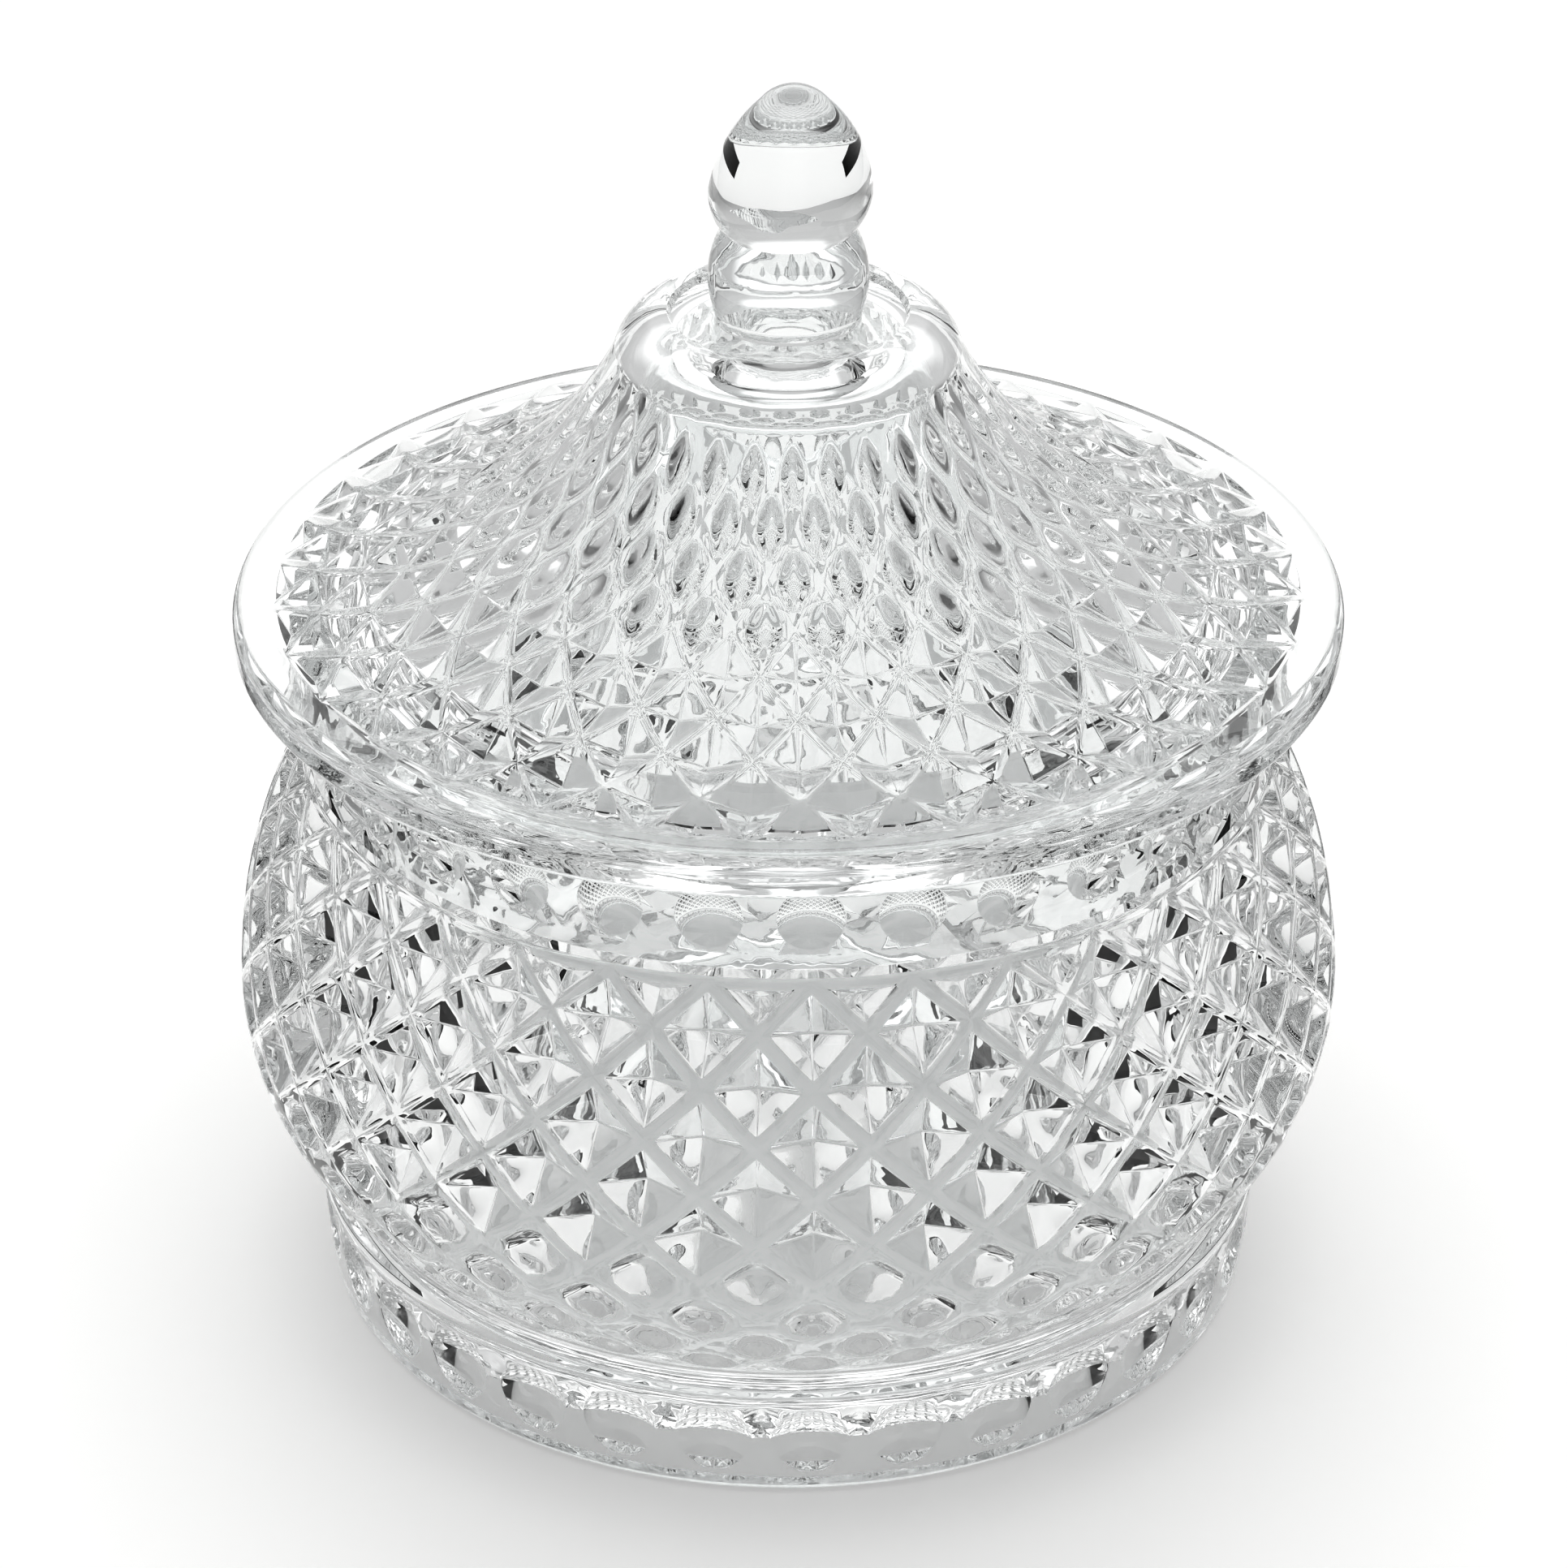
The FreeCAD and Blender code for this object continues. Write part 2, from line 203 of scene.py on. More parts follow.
class Sector:
    """One repeat of a turned and pressed glass wall, later spun into the whole."""

    def __init__(self, section: Section, turn: float) -> None:
        """Start an empty repeat.

        Args:
            section: the half section that the wall follows.
            turn: where the first repeat stands round the axis, in radians.
        """
        self.section = section
        self.turn = turn
        self.mesh = bmesh.new()

    def unroll(self, sheet: bmesh.types.BMesh) -> None:
        """Turn angles round the axis into millimetres along the wall."""
        for vert in sheet.verts:
            vert.co.x *= self.section.locate(vert.co.y)[0].x

    def wrap(self, sheet: bmesh.types.BMesh, centre: float, unrolled: bool) -> None:
        """Bend a flat sheet onto the wall and add it to the repeat.

        Args:
            sheet: flat mesh with x across, y along the section and z outward.
            centre: angle round the axis of the sheet's middle.
            unrolled: whether x is in millimetres instead of radians.
        """
        for vert in sheet.verts:
            across, along, height = vert.co
            point, outward = self.section.locate(along)
            angle = centre + (across / point.x if unrolled else across)
            spot = point + outward * height
            vert.co = (spot.x * math.sin(angle), -spot.x * math.cos(angle), spot.y)
        part = bpy.data.meshes.new("sheet")
        sheet.to_mesh(part)
        sheet.free()
        self.mesh.from_mesh(part)
        bpy.data.meshes.remove(part)

    def band(self, first: str, last: str) -> None:
        """Draw the smooth bands between two named corners."""
        for low, high, rings in self.section.span(first, last):
            sheet = flat_grid(low, high, ARC_STEPS, rings)
            self.wrap(sheet, self.turn, False)

    def cell(self, stops: tuple[float, float, float], centre: float, style: CellStyle) -> None:
        """Sink one full diamond cell into the wall.

        Args:
            stops: distances along the section of its low, side and high corners.
            centre: angle round the axis of its middle.
            style: its sizes.
        """
        low, own, high = stops
        ring = [(0.0, low), (PITCH / 2, own), (0.0, high), (-PITCH / 2, own)]
        if style.polish is Polish.SOFT:
            sheet = melted_cell(ring, stops, style)
            self.unroll(sheet)
        else:
            sheet, face = flat_face(ring)
            self.unroll(sheet)
            sink(sheet, face, Vector((0.0, own, -style.depth)), style)
        self.wrap(sheet, centre, True)

    def end_cell(self, own: float, tip: float, centre: float, style: CellStyle | None) -> None:
        """Close the lattice against a smooth band with a half cell.

        Args:
            own: distance along the section of its straight side.
            tip: distance along the section of its point.
            centre: angle round the axis of its middle.
            style: its sizes, or None where the wall stays smooth.
        """
        ring = [(-PITCH / 2, own), (PITCH / 2, own), (0.0, tip)]
        if tip < own:
            ring.reverse()
        sheet, face = flat_face(ring, own)
        self.unroll(sheet)
        if style:
            deep = own + (tip - own) * HALF_CELL_APEX
            sink(sheet, face, Vector((0.0, deep, -style.depth)), style)
        self.wrap(sheet, centre, True)

    def prints(self, low: float, high: float, radius: float, depth: float) -> None:
        """Press one round hollow into a smooth band.

        Args:
            low: distance along the section where the band starts.
            high: distance along the section where it ends.
            radius: radius of the hollow's rim.
            depth: depth of its middle.
        """
        sheet = flat_grid(low, high, ARC_STEPS, PRINT_RINGS)
        self.unroll(sheet)
        inner = [vert for vert in sheet.verts if not vert.is_boundary]
        bmesh.ops.delete(sheet, geom=inner, context="VERTS")
        corner_faces = list(sheet.faces)
        bmesh.ops.delete(sheet, geom=corner_faces, context="FACES_ONLY")
        outline = list(sheet.edges)
        rim = bmesh.ops.create_circle(sheet, segments=PRINT_SIDES, radius=radius)["verts"]
        for vert in rim:
            vert.co.y += (low + high) / 2
        rim_edges = list({edge for vert in rim for edge in vert.link_edges})
        bmesh.ops.bridge_loops(sheet, edges=outline + rim_edges)
        face = bmesh.ops.contextual_create(sheet, geom=rim_edges)["faces"][0]
        face_up(sheet)
        hollow(sheet, face, radius, depth)
        self.wrap(sheet, self.turn, True)

    def finish(self, name: str, unit: float, body: str) -> bpy.types.Object:
        """Spin the repeat round the axis and close it into one piece of glass.

        Args:
            name: name of the new piece.
            unit: metres in one of the section's millimetres.
            body: moving body that the piece belongs to.

        Returns:
            The finished object.
        """
        whole = self.mesh
        bmesh.ops.scale(whole, vec=(unit, unit, unit), verts=whole.verts)
        bmesh.ops.remove_doubles(whole, verts=whole.verts, dist=MERGE_DISTANCE)
        bmesh.ops.spin(
            whole,
            geom=whole.verts[:] + whole.edges[:] + whole.faces[:],
            cent=(0, 0, 0),
            axis=(0, 0, 1),
            angle=PITCH * (REPEATS - 1),
            steps=REPEATS - 1,
            use_duplicate=True,
        )
        bmesh.ops.remove_doubles(whole, verts=whole.verts, dist=MERGE_DISTANCE)
        bmesh.ops.dissolve_degenerate(whole, dist=MERGE_DISTANCE / 4, edges=whole.edges)
        bmesh.ops.recalc_face_normals(whole, faces=whole.faces)
        for face in whole.faces:
            face.smooth = True
        loose = sum(1 for edge in whole.edges if not edge.is_manifold)
        LOG.info("%s: %d faces, %d open edges", name, len(whole.faces), loose)
        piece = new_object(name, whole)
        piece.data.set_sharp_from_angle(angle=SHARP_ANGLE)
        weigh = piece.modifiers.new("flat_facets", "WEIGHTED_NORMAL")
        weigh.weight = FACET_WEIGHT
        weigh.keep_sharp = True
        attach(piece, body)
        return piece


def new_object(name: str, shape: bmesh.types.BMesh) -> bpy.types.Object:
    """Turn a mesh under construction into an object of the scene."""
    mesh = bpy.data.meshes.new(name)
    shape.to_mesh(mesh)
    shape.free()
    made = bpy.data.objects.new(name, mesh)
    bpy.context.scene.collection.objects.link(made)
    return made


def flat_grid(low: float, high: float, across: int, along: int) -> bmesh.types.BMesh:
    """Make a flat sheet one repeat wide, with x in radians and y along the section."""
    sheet = bmesh.new()
    bmesh.ops.create_grid(sheet, x_segments=across, y_segments=along, size=1)
    for vert in sheet.verts:
        vert.co.x *= PITCH / 2
        vert.co.y = low + (vert.co.y + 1) / 2 * (high - low)
    return sheet


def flat_face(
    ring: list[tuple[float, float]], side: float | None = None
) -> tuple[bmesh.types.BMesh, bmesh.types.BMFace]:
    """Make one flat face from its corners, with its edges cut into short steps.

    Args:
        ring: the corners in order.
        side: distance along the section of an edge that borders a smooth band.

    Returns:
        The mesh and its face, which looks outward.
    """
    sheet = bmesh.new()
    verts = [sheet.verts.new((x, y, 0.0)) for x, y in ring]
    edges = [sheet.edges.new(pair) for pair in zip(verts, verts[1:] + verts[:1])]
    level = [edge for edge in edges if side is not None and lies_at(edge, side)]
    slanted = [edge for edge in edges if edge not in level]
    bmesh.ops.subdivide_edges(sheet, edges=slanted, cuts=CELL_STEPS - 1)
    if side is not None:
        level = [edge for edge in sheet.edges if lies_at(edge, side)]
        bmesh.ops.subdivide_edges(sheet, edges=level, cuts=ARC_STEPS - 1)
    face = bmesh.ops.contextual_create(sheet, geom=sheet.edges[:])["faces"][0]
    face_up(sheet)
    return sheet, face


def lies_at(edge: bmesh.types.BMEdge, side: float) -> bool:
    """Tell whether an edge lies at a distance along the section."""
    return all(abs(vert.co.y - side) < SIDE_SLACK_MM for vert in edge.verts)


def melted_cell(
    ring: list[tuple[float, float]], stops: tuple[float, float, float], style: CellStyle
) -> bmesh.types.BMesh:
    """Make a cell that the fire polish has rounded into a smooth hollow.

    Args:
        ring: its four corners in order.
        stops: distances along the section of its low, side and high corners.
        style: its sizes.

    Returns:
        The mesh, with x still in radians.
    """
    sheet = bmesh.new()
    verts = [sheet.verts.new((x, y, 0.0)) for x, y in ring]
    bmesh.ops.contextual_create(sheet, geom=verts)
    bmesh.ops.subdivide_edges(
        sheet, edges=sheet.edges[:], cuts=CELL_STEPS - 1, use_grid_fill=True
    )
    for _ in range(2):
        inner = [edge for edge in sheet.edges if not edge.is_boundary]
        bmesh.ops.subdivide_edges(sheet, edges=inner, cuts=1, use_grid_fill=True)
    face_up(sheet)
    low, own, high = stops
    for vert in sheet.verts:
        across = vert.co.x / (PITCH / 2)
        along = (vert.co.y - own) / ((high - own) if vert.co.y > own else (own - low))
        power = style.roundness
        edge = (abs(across + along) ** power + abs(across - along) ** power) ** (1 / power)
        share = min(1.0, max(0.0, (1 - edge - style.rim) / (1 - style.rim)))
        ease = MELT_POWER + 1 - MELT_POWER * share
        vert.co.z = -style.depth * share**MELT_POWER * ease
    return sheet


def face_up(sheet: bmesh.types.BMesh) -> None:
    """Turn every face of a flat sheet so that it looks outward."""
    sheet.normal_update()
    for face in sheet.faces:
        if face.normal.z < 0:
            face.normal_flip()


def inset(sheet: bmesh.types.BMesh, face: bmesh.types.BMFace, width: float, drop: float) -> None:
    """Step a face inward by a width and down by a drop."""
    bmesh.ops.inset_individual(
        sheet, faces=[face], thickness=width, depth=-drop, use_even_offset=True
    )


def sharp_corners(face: bmesh.types.BMFace) -> set[bmesh.types.BMVert]:
    """Find the corners of a face where its outline truly turns."""
    return {loop.vert for loop in face.loops if loop.calc_angle() < CORNER_ANGLE}


def sink(
    sheet: bmesh.types.BMesh, face: bmesh.types.BMFace, apex: Vector, style: CellStyle
) -> None:
    """Sink a face into a faceted hollow with a rounded rib round it.

    Args:
        sheet: mesh that holds the face.
        face: outline of the cell at full height.
        apex: where its facets meet.
        style: sizes of the cell.
    """
    down = 0.0
    for share in RIB_LEVELS:
        level = style.rib_drop * share**2
        inset(sheet, face, style.rib / len(RIB_LEVELS), level - down)
        down = level
    corners = sharp_corners(face)
    heart = bmesh.ops.poke(sheet, faces=[face], offset=0.0)["verts"][0]
    heart.co = apex
    valleys = [edge for edge in heart.link_edges if edge.other_vert(heart) in corners]
    bmesh.ops.bevel(
        sheet,
        geom=valleys,
        offset=style.valley,
        segments=2,
        profile=0.5,
        affect="EDGES",
        clamp_overlap=True,
        material=-1,
    )


def hollow(
    sheet: bmesh.types.BMesh, face: bmesh.types.BMFace, radius: float, depth: float
) -> None:
    """Press a face into a shallow ball-shaped hollow with a soft rim.

    Args:
        sheet: mesh that holds the face.
        face: round outline of the hollow.
        radius: its radius.
        depth: depth of its middle.
    """
    ball = (radius**2 + depth**2) / (2 * depth)
    here, down = radius, 0.0
    for share in PRINT_REACHES:
        reach = radius * share
        level = depth - (ball - math.sqrt(ball**2 - reach**2))
        inset(sheet, face, here - reach, level - down)
        here, down = reach, level
    heart = bmesh.ops.poke(sheet, faces=[face], offset=0.0)["verts"][0]
    heart.co.z = -depth


def row_stops(first: float, step: float, ratio: float, count: int, total: float) -> list[float]:
    """Distances of the lattice rows from its sharp end, the last at its far end."""
    rows = [0.0, first]
    while len(rows) < count:
        rows.append(rows[-1] + step)
        step *= ratio
    return rows + [total]


def lattice(sector: Sector, rows: list[float], styles: list[CellStyle]) -> None:
    """Fill a wall with staggered sunken cells.

    Args:
        sector: the repeat to fill.
        rows: distances along the section of the rib crossings, in order.
        styles: sizes of the cells centred on each row but the last.
    """
    last = len(rows) - 1
    for number, style in enumerate(styles):
        centre = sector.turn + (PITCH / 2 if number % 2 == 0 else 0.0)
        if number == 0:
            sector.end_cell(rows[0], rows[1], centre, style)
            continue
        low, high = sorted((rows[number - 1], rows[number + 1]))
        sector.cell((low, rows[number], high), centre, style)
    centre = sector.turn + (PITCH / 2 if last % 2 == 0 else 0.0)
    sector.end_cell(rows[last], rows[last - 1], centre, None)


def empty_tree(owner: bpy.types.Material | bpy.types.World) -> bpy.types.NodeTree:
    """Switch a material or world to nodes and clear its node tree."""
    owner.use_nodes = True
    owner.node_tree.nodes.clear()
    return owner.node_tree


def add_node(tree: bpy.types.NodeTree, kind: str, settings: dict, links: dict) -> bpy.types.Node:
    """Add a shader node.

    Args:
        tree: node tree to add to.
        kind: type name of the node.
        settings: its properties by name, and its unlinked inputs by name or number.
        links: its linked inputs by name or number, each an output socket.

    Returns:
        The new node.
    """
    node = tree.nodes.new(kind)
    for name, value in settings.items():
        if isinstance(name, int) or name in node.inputs:
            node.inputs[name].default_value = value
        else:
            setattr(node, name, value)
    for name, source in links.items():
        tree.links.new(source, node.inputs[name])
    return node


def linear(code: str) -> tuple[float, float, float, float]:
    """Turn an sRGB hex colour into linear RGBA."""
    parts = [int(code[i : i + 2], 16) / 255 for i in (0, 2, 4)]
    return (*[c / 12.92 if c <= 0.04045 else ((c + 0.055) / 1.055) ** 2.4 for c in parts], 1.0)


@dataclass(frozen=True)
class PressedGlass:
    """Clear soda-lime glass, pressed in a mould and fire polished.

    The eye sees it by what it bends: near-white body, bright rolled edges and
    dark lines where a facet looks past the lights. Chill ripples a few
    millimetres long stay in the surface and make those lines waver.
    """

    name: str
    colour: str = "fbfcfc"
    ior: float = 1.52
    ripple_mm: float = 3.5
    ripple_height_mm: float = 0.016
    wave_mm: float = 11.0
    wave_height_mm: float = 0.09
    roughness: float = 0.0

    def material(self) -> bpy.types.Material:
        """Build the material."""
        made = bpy.data.materials.new(self.name)
        tree = empty_tree(made)
        place = add_node(tree, "ShaderNodeTexCoord", {}, {})
        ripple = add_node(
            tree,
            "ShaderNodeTexNoise",
            {"Scale": 1000 / self.ripple_mm, "Detail": 2.0, "Roughness": 0.45},
            {"Vector": place.outputs["Object"]},
        )
        bump = add_node(
            tree,
            "ShaderNodeBump",
            {"Strength": 1.0, "Distance": self.ripple_height_mm / 1000},
            {"Height": ripple.outputs["Fac"]},
        )
        wave = add_node(
            tree,
            "ShaderNodeTexNoise",
            {"Scale": 1000 / self.wave_mm, "Detail": 1.0, "Distortion": 0.6},
            {"Vector": place.outputs["Object"]},
        )
        sway = add_node(
            tree,
            "ShaderNodeBump",
            {"Strength": 1.0, "Distance": self.wave_height_mm / 1000},
            {"Height": wave.outputs["Fac"], "Normal": bump.outputs["Normal"]},
        )
        glass = add_node(
            tree,
            "ShaderNodeBsdfPrincipled",
            {
                "Base Color": linear(self.colour),
                "IOR": self.ior,
                "Roughness": self.roughness,
                "Transmission Weight": 1.0,
            },
            {"Normal": sway.outputs["Normal"]},
        )
        add_node(tree, "ShaderNodeOutputMaterial", {}, {"Surface": glass.outputs["BSDF"]})
        return made


@dataclass
class Jar:
    """Bowl, foot ring and neck, pressed as one piece. Sizes in millimetres."""

    turn: float = math.radians(2.5)
    seat_z: float = 70.0
    foot_print_r: float = 3.8
    foot_print_depth: float = 1.7
    neck_print_r: float = 3.2
    neck_print_depth: float = 1.2
    rows: int = 10
    first_step: float = 4.8
    step: float = 5.35
    step_ratio: float = 0.975
    cell_depth: float = 2.7
    half_cell_share: float = 0.62  # depth of the half cells at the sharp end
    crisp_rows: int = 5
    melted: tuple[tuple[float, float, float], ...] = (  # depth, rim and roundness
        (2.8, 0.16, 6.0),
        (2.6, 0.2, 3.6),
        (2.3, 0.24, 2.8),
        (1.6, 0.26, 2.3),
    )
    foot: dict[str, Corner] = field(
        default_factory=lambda: {
            "recess_middle": Corner(0.0, 4.0, rings=5),
            "recess_edge": Corner(40.0, 4.0),
            "foot_inner": Corner(41.5, 0.0, rings=2),
            "foot_flat": Corner(45.2, 0.0, 1.5, 4),
            "foot_edge": Corner(46.9, 1.1),
            "foot_print_low": Corner(47.02, 2.7),
            "foot_top": Corner(47.6, 10.5, 1.5, 4),
            "foot_lip": Corner(46.6, 11.6, -1.6, 4),
        }
    )
    bowl: dict[str, Corner] = field(
        default_factory=lambda: {
            "bowl_low": Corner(45.7, 13.4, 25.5),
            "bowl_wide": Corner(54.3, 36.6, 46.0),
            "bowl_top": Corner(47.2, 57.8),
            "groove_low": Corner(47.2, 58.2),
            "groove": Corner(46.5, 58.7),
            "neck_low": Corner(47.1, 59.2),
        }
    )
    neck: dict[str, Corner] = field(
        default_factory=lambda: {
            "neck_print_low": Corner(47.1, 60.6),
            "neck_print_high": Corner(47.1, 68.0),
            "neck_high": Corner(47.1, 69.2, 0.8, 4),
            "lip_outer": Corner(46.3, 70.0, rings=2),
            "lip_inner": Corner(44.0, 70.0, 0.8, 4),
            "mouth": Corner(43.2, 69.2, rings=14),
            "cavity_low": Corner(41.6, 19.5, -10.0, 10),
            "floor_edge": Corner(31.6, 9.5, rings=5),
            "floor_middle": Corner(0.0, 9.5),
        }
    )

    def section(self) -> Section:
        """Closed half section of the whole piece."""
        return Section({**self.foot, **self.bowl, **self.neck})

    def styles(self) -> list[CellStyle]:
        """Cell sizes from the neck down: crisp at first, melted near the foot."""
        half = CellStyle(self.cell_depth * self.half_cell_share)
        soft = [
            CellStyle(depth, polish=Polish.SOFT, rim=rim, roundness=roundness)
            for depth, rim, roundness in self.melted
        ]
        return [half] + [CellStyle(self.cell_depth)] * self.crisp_rows + soft

    def build(self) -> bpy.types.Object:
        """Model the piece in place of its plain solid."""
        section = self.section()
        low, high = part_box("jar")
        sector = Sector(section, self.turn)
        sector.band("recess_middle", "foot_print_low")
        stops = section.stops
        sector.prints(
            stops["foot_print_low"],
            stops["foot_top"],
            self.foot_print_r,
            self.foot_print_depth,
        )
        sector.band("foot_top", "bowl_low")
        top = stops["bowl_top"]
        total = top - stops["bowl_low"]
        rows = row_stops(self.first_step, self.step, self.step_ratio, self.rows, total)
        lattice(sector, [top - row for row in rows], self.styles())
        sector.band("bowl_top", "neck_print_low")
        sector.prints(
            stops["neck_print_low"],
            stops["neck_print_high"],
            self.neck_print_r,
            self.neck_print_depth,
        )
        sector.band("neck_print_high", "floor_middle")
        piece = sector.finish("jar_glass", (high.z - low.z) / self.seat_z, "jar")
        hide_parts("jar")
        return piece

    def dress(self, piece: bpy.types.Object) -> None:
        """Give the piece its glass."""
        piece.data.materials.append(PressedGlass("fire_polished_pressed_glass_jar").material())


@dataclass
class Lid:
    """Loose lid with its brim, locating ring and bud finial. Sizes in millimetres."""

    turn: float = math.radians(-4.4)
    rows: int = 9
    step: float = 4.5
    step_ratio: float = 1.02
    cell_depth: float = 1.7
    depth_loss: float = 0.11
    half_cell_share: float = 0.62  # depth of the half cells at the brim
    melted_from: int = 5  # first row that the fire polish has melted
    melted_gain: float = 1.3  # a melted cell is deeper than a crisp one of its row
    melted_rim: float = 0.1
    melted_rim_gain: float = 0.03
    rib: float = 0.5
    rib_drop: float = 0.13
    lean: float = 0.55
    lean_from: float = 112.0  # height at which the bud starts to lean
    lean_turn: float = 0.6 * math.pi  # the lean is greatest a little below the tip
    underside: dict[str, Corner] = field(
        default_factory=lambda: {
            "roof_middle": Corner(0.0, 98.0, rings=2),
            "roof_edge": Corner(9.8, 98.0, -3.6, 5),
            "under_top": Corner(13.3, 94.5, 40.0, 10),
            "under_mid": Corner(30.5, 78.2, 64.0, 6),
            "under_low": Corner(39.1, 73.2, rings=2),
            "ring_inner": Corner(39.4, 67.4),
            "ring_foot": Corner(40.2, 66.6),
            "ring_chamfer": Corner(41.9, 66.6),
            "ring_low": Corner(42.5, 67.2),
            "ring_root": Corner(42.7, 70.0, rings=3),
        }
    )
    top: dict[str, Corner] = field(
        default_factory=lambda: {
            "brim_flat": Corner(52.6, 70.0, 0.8, 4),
            "brim_low": Corner(53.4, 70.8),
            "brim_high": Corner(53.4, 72.4, 1.5, 5),
            "brim_top": Corner(51.9, 73.9, rings=2),
            "bell_low": Corner(49.6, 74.1, -60.0),
            "bell_mid": Corner(32.6, 81.8, -36.0),
            "bell_top": Corner(16.6, 98.2, 5.5, 6),
            "shoulder": Corner(12.2, 102.6),
            "disc_edge": Corner(11.4, 102.6),
            "disc": Corner(11.0, 101.9, rings=2),
        }
    )
    finial: dict[str, Corner] = field(
        default_factory=lambda: {
            "stem_root": Corner(6.9, 101.9),
            "stem_low": Corner(6.9, 102.5, 9.6, 10),
            "stem_high": Corner(6.5, 110.4),
            "waist": Corner(6.2, 110.9),
            "bud_low": Corner(6.7, 111.6, 5.5, 6),
            "bud_wide": Corner(7.65, 114.8, 14.0, 12),
            "bud_tip": Corner(3.3, 123.3, 4.203125, 6),
            "tip": Corner(0.0, 124.9),
        }
    )

    def section(self) -> Section:
        """Closed half section of the whole piece."""
        return Section({**self.underside, **self.top, **self.finial})

    def styles(self) -> list[CellStyle]:
        """Cell sizes from the brim up: crisp at first, melted near the finial."""
        half = self.cell_depth * self.half_cell_share
        styles = [CellStyle(half, self.rib, self.rib_drop)]
        for number in range(1, self.rows):
            depth = self.cell_depth - self.depth_loss * number
            if number < self.melted_from:
                styles.append(CellStyle(depth, self.rib, self.rib_drop))
                continue
            rim = self.melted_rim + self.melted_rim_gain * (number - self.melted_from)
            styles.append(CellStyle(depth * self.melted_gain, polish=Polish.SOFT, rim=rim))
        return styles

    def build(self) -> bpy.types.Object:
        """Model the piece in place of its plain solid."""
        section = self.section()
        low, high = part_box("lid")
        height = self.finial["tip"].z - self.underside["ring_foot"].z
        sector = Sector(section, self.turn)
        sector.band("roof_middle", "bell_low")
        start = section.stops["bell_low"]
        total = section.stops["bell_top"] - start
        rows = row_stops(self.step, self.step, self.step_ratio, self.rows, total)
        lattice(sector, [start + row for row in rows], self.styles())
        sector.band("bell_top", "tip")
        piece = sector.finish("lid_glass", (high.z - low.z) / height, "lid")
        self.lean_bud(piece)
        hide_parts("lid")
        return piece

    def lean_bud(self, piece: bpy.types.Object) -> None:
        """Lean the bud a little to one side, as the hot glass settled."""
        reach = self.finial["tip"].z - self.lean_from
        for vert in piece.data.vertices:
            rise = (vert.co.z * 1000 - self.lean_from) / reach
            if rise > 0:
                vert.co.x += self.lean / 1000 * math.sin(rise * self.lean_turn)

    def dress(self, piece: bpy.types.Object) -> None:
        """Give the piece its glass."""
        piece.data.materials.append(PressedGlass("fire_polished_pressed_glass_lid").material())


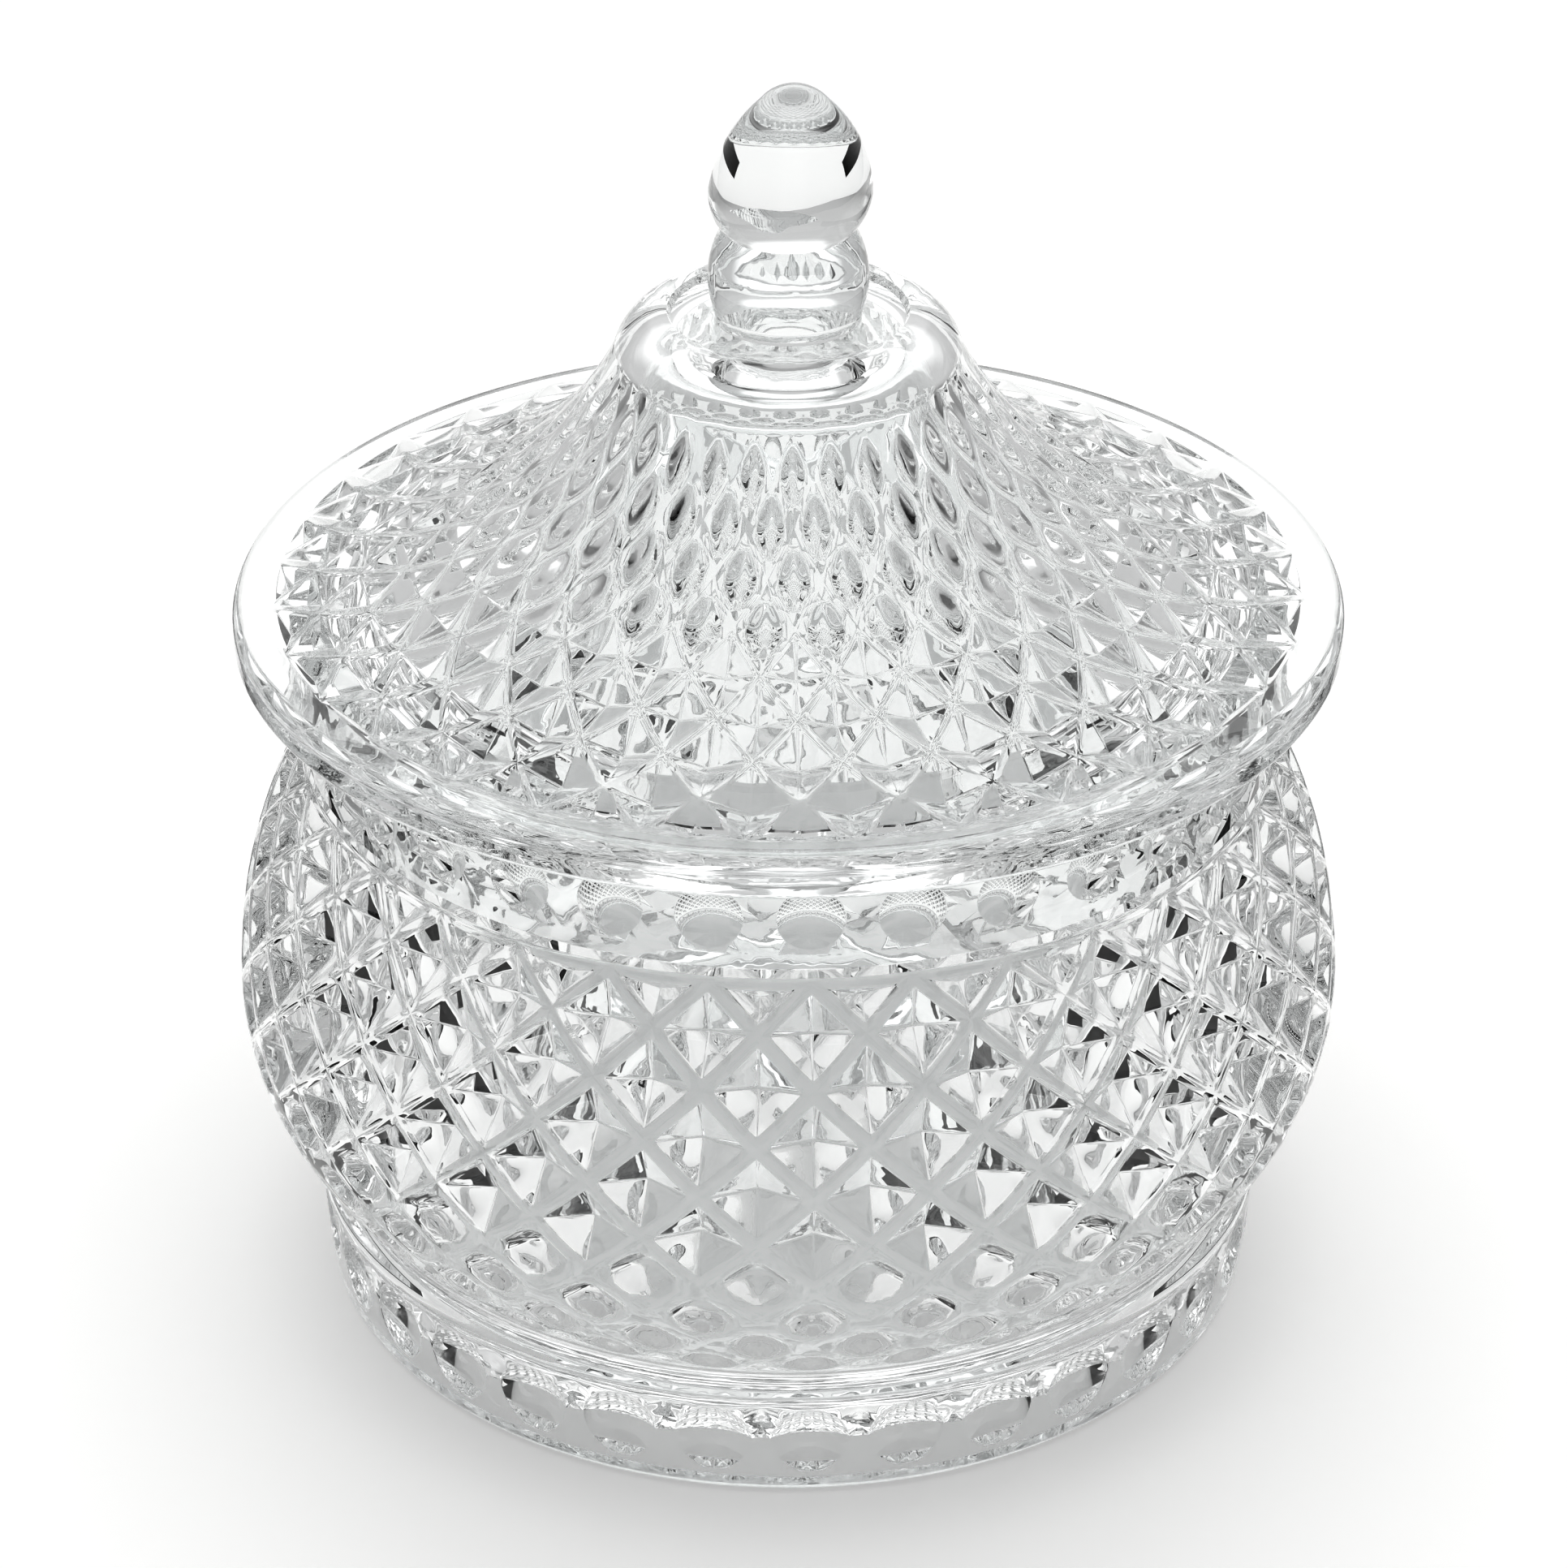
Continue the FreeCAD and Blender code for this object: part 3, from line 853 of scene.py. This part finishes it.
@dataclass
class Studio:
    """Pale floor, soft light and the camera. Lengths in metres."""

    floor_reach: float = 0.6
    floor_gap: float = 0.0002  # air left under the foot, so that the two never touch
    floor_colour: str = "e8e8e7"
    floor_glow: float = 0.42  # the floor glows, so that the glass is lit from below
    elevation: float = math.radians(30.15)
    distance: float = 0.5158
    aim_share: float = 0.392  # height of the aim as a share of the object's height
    lens: float = 120.05
    shift_x: float = -0.0028
    shift_y: float = 0.0131
    sensor_width: float = 36.0
    sweep: tuple[float, float, float] = (0.0, 0.8, 0.6)  # direction of the bright sweep
    card_tone: float = 0.4  # pale card over the camera
    card_inner: float = 0.25
    card_outer: float = 0.45
    flag_inner: float = 0.45  # the room is dark beyond this, at both sides in front
    flag_outer: float = 0.65
    flag_back: float = 0.45  # how far back the dark sides end
    backdrop_tone: float = 1.0  # the plain backdrop, which only the camera sees
    stand_x: float = 0.11  # low black flags beside the jar
    stand_y: float = 0.03
    stand_length: float = 0.28
    stand_height: float = 0.04
    lamp_sides: tuple[float, float] = (1.2, 0.9)
    lamp_place: tuple[float, float, float] = (0.0, -0.05, 1.1)
    lamp_watts: float = 5.4
    gamma: float = 0.8
    tones: tuple[tuple[float, float], ...] = (
        (0.0, 0.12),
        (0.42, 0.06),
        (0.5, 0.15),
        (0.58, 0.6),
        (0.72, 0.35),
        (0.84, 0.62),
        (0.94, 0.7),
        (0.97, 1.4),
    )

    def floor(self) -> None:
        """Lay a plain pale floor."""
        sheet = bmesh.new()
        bmesh.ops.create_grid(sheet, x_segments=1, y_segments=1, size=self.floor_reach)
        bmesh.ops.translate(sheet, vec=(0, 0, -self.floor_gap), verts=sheet.verts)
        floor = new_object("floor", sheet)
        # matt opal acrylic lit from below gives the eye a plain pale ground
        opal = bpy.data.materials.new("opal_acrylic_light_table")
        tree = empty_tree(opal)
        matt = add_node(
            tree,
            "ShaderNodeBsdfPrincipled",
            {
                "Base Color": linear(self.floor_colour),
                "Roughness": 0.9,
                "Specular IOR Level": 0.1,
                "Emission Color": (1, 1, 1, 1),
                "Emission Strength": self.floor_glow,
            },
            {},
        )
        add_node(tree, "ShaderNodeOutputMaterial", {}, {"Surface": matt.outputs["BSDF"]})
        floor.data.materials.append(opal)
        floor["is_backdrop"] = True

    def flags(self) -> None:
        """Stand a low black flag at each side, which only the glass can see."""
        # facets turned towards the velvet read as dark lines in the glass
        velvet = bpy.data.materials.new("black_velvet_flag")
        tree = empty_tree(velvet)
        matt = add_node(tree, "ShaderNodeBsdfDiffuse", {"Color": linear("0a0a0a")}, {})
        add_node(tree, "ShaderNodeOutputMaterial", {}, {"Surface": matt.outputs["BSDF"]})
        for name, side in (("flag_left", -1), ("flag_right", 1)):
            sheet = bmesh.new()
            bmesh.ops.create_grid(sheet, x_segments=1, y_segments=1, size=0.5)
            sides = (self.stand_height, self.stand_length, 1)
            upright = Matrix.Rotation(math.pi / 2, 3, "Y")
            spot = (side * self.stand_x, self.stand_y, self.stand_height / 2)
            bmesh.ops.scale(sheet, vec=sides, verts=sheet.verts)
            bmesh.ops.rotate(sheet, matrix=upright, verts=sheet.verts)
            bmesh.ops.translate(sheet, vec=spot, verts=sheet.verts)
            flag = new_object(name, sheet)
            flag.visible_camera = False
            flag.visible_diffuse = False
            flag.visible_shadow = False
            flag.data.materials.append(velvet)
            flag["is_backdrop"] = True

    def world(self) -> None:
        """Surround the set with a bright sweep behind that fades to a dim room in front."""
        world = bpy.data.worlds.new("soft_studio")
        bpy.context.scene.world = world
        tree = empty_tree(world)
        place = add_node(tree, "ShaderNodeTexCoord", {}, {})
        way = place.outputs["Generated"]
        facing = add_node(
            tree, "ShaderNodeVectorMath", {"operation": "DOT_PRODUCT", 1: self.sweep}, {0: way}
        )
        share = add_node(
            tree, "ShaderNodeMapRange", {"From Min": -1.0}, {"Value": facing.outputs["Value"]}
        )
        ramp = add_node(tree, "ShaderNodeValToRGB", {}, {"Fac": share.outputs["Result"]})
        bands = ramp.color_ramp
        bands.interpolation = "EASE"
        bands.elements.remove(bands.elements[1])
        bands.elements[0].position, tone = self.tones[0]
        bands.elements[0].color = (tone, tone, tone, 1)
        for position, tone in self.tones[1:]:
            bands.elements.new(position).color = (tone, tone, tone, 1)
        across = add_node(tree, "ShaderNodeSeparateXYZ", {}, {"Vector": way})
        aside = add_node(
            tree, "ShaderNodeMath", {"operation": "ABSOLUTE"}, {0: across.outputs["X"]}
        )
        behind = add_node(
            tree,
            "ShaderNodeMapRange",
            {"From Max": self.flag_back},
            {"Value": across.outputs["Y"]},
        )
        flag = add_node(
            tree,
            "ShaderNodeMapRange",
            {
                "From Min": self.flag_inner,
                "From Max": self.flag_outer,
                "To Min": 1.0,
                "To Max": 0.0,
            },
            {"Value": aside.outputs["Value"]},
        )
        unflagged = add_node(
            tree,
            "ShaderNodeMath",
            {"operation": "MAXIMUM"},
            {0: flag.outputs["Result"], 1: behind.outputs["Result"]},
        )
        sweep = add_node(
            tree,
            "ShaderNodeMath",
            {"operation": "MULTIPLY"},
            {0: ramp.outputs["Color"], 1: unflagged.outputs["Value"]},
        )
        card = add_node(
            tree,
            "ShaderNodeMapRange",
            {
                "From Min": self.card_inner,
                "From Max": self.card_outer,
                "To Min": self.card_tone,
                "To Max": 0.0,
            },
            {"Value": aside.outputs["Value"]},
        )
        light = add_node(
            tree,
            "ShaderNodeMath",
            {"operation": "MAXIMUM"},
            {0: sweep.outputs["Value"], 1: card.outputs["Result"]},
        )
        rays = add_node(tree, "ShaderNodeLightPath", {}, {})
        plain = add_node(
            tree,
            "ShaderNodeMapRange",
            {"To Max": self.backdrop_tone},
            {"Value": rays.outputs["Is Camera Ray"]},
        )
        seen = add_node(
            tree,
            "ShaderNodeMath",
            {"operation": "MAXIMUM"},
            {0: light.outputs["Value"], 1: plain.outputs["Result"]},
        )
        back = add_node(
            tree, "ShaderNodeBackground", {"Strength": 1.0}, {"Color": seen.outputs["Value"]}
        )
        add_node(tree, "ShaderNodeOutputWorld", {}, {"Surface": back.outputs["Background"]})

    def lights(self) -> None:
        """Hang one broad overhead light, which is not seen in or through the glass."""
        light = bpy.data.lights.new("overhead_softbox", "AREA")
        light.shape = "RECTANGLE"
        light.size, light.size_y = self.lamp_sides
        light.energy = self.lamp_watts
        lamp = bpy.data.objects.new("overhead_softbox", light)
        lamp.location = self.lamp_place
        lamp.visible_transmission = False
        lamp.visible_glossy = False
        bpy.context.scene.collection.objects.link(lamp)

    def camera(self, low: Vector, high: Vector) -> None:
        """Place the camera in front of and above the jar."""
        lens = bpy.data.cameras.new("camera")
        lens.lens = self.lens
        lens.sensor_width = self.sensor_width
        lens.shift_x = self.shift_x
        lens.shift_y = self.shift_y
        lens.clip_start = 0.01
        camera = bpy.data.objects.new("camera", lens)
        aim = Vector((0, 0, low.z + (high.z - low.z) * self.aim_share))
        out = Vector((0, -math.cos(self.elevation), math.sin(self.elevation)))
        camera.location = aim + out * self.distance
        camera.rotation_euler = (math.pi / 2 - self.elevation, 0, 0)
        bpy.context.scene.collection.objects.link(camera)
        bpy.context.scene.camera = camera

    def build(self, low: Vector, high: Vector) -> None:
        """Set up the whole studio around the object's box."""
        self.floor()
        self.flags()
        self.world()
        self.lights()
        self.camera(low, high)
        scene = bpy.context.scene
        scene.view_settings.view_transform = "Standard"
        scene.view_settings.gamma = self.gamma
        scene.cycles.use_denoising = True
        scene.cycles.max_bounces = LIGHT_BOUNCES
        scene.cycles.transmission_bounces = LIGHT_BOUNCES
        scene.cycles.glossy_bounces = LIGHT_BOUNCES


def main() -> None:
    """Build the glass and the studio in order."""
    logging.basicConfig(level=logging.INFO, format="%(message)s")
    low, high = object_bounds()
    for maker in (Jar(), Lid()):
        piece = maker.build()
        maker.dress(piece)
        LOG.info("built %s", piece.name)
    Studio().build(low, high)
    low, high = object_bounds()


if __name__ == "__main__":
    main()
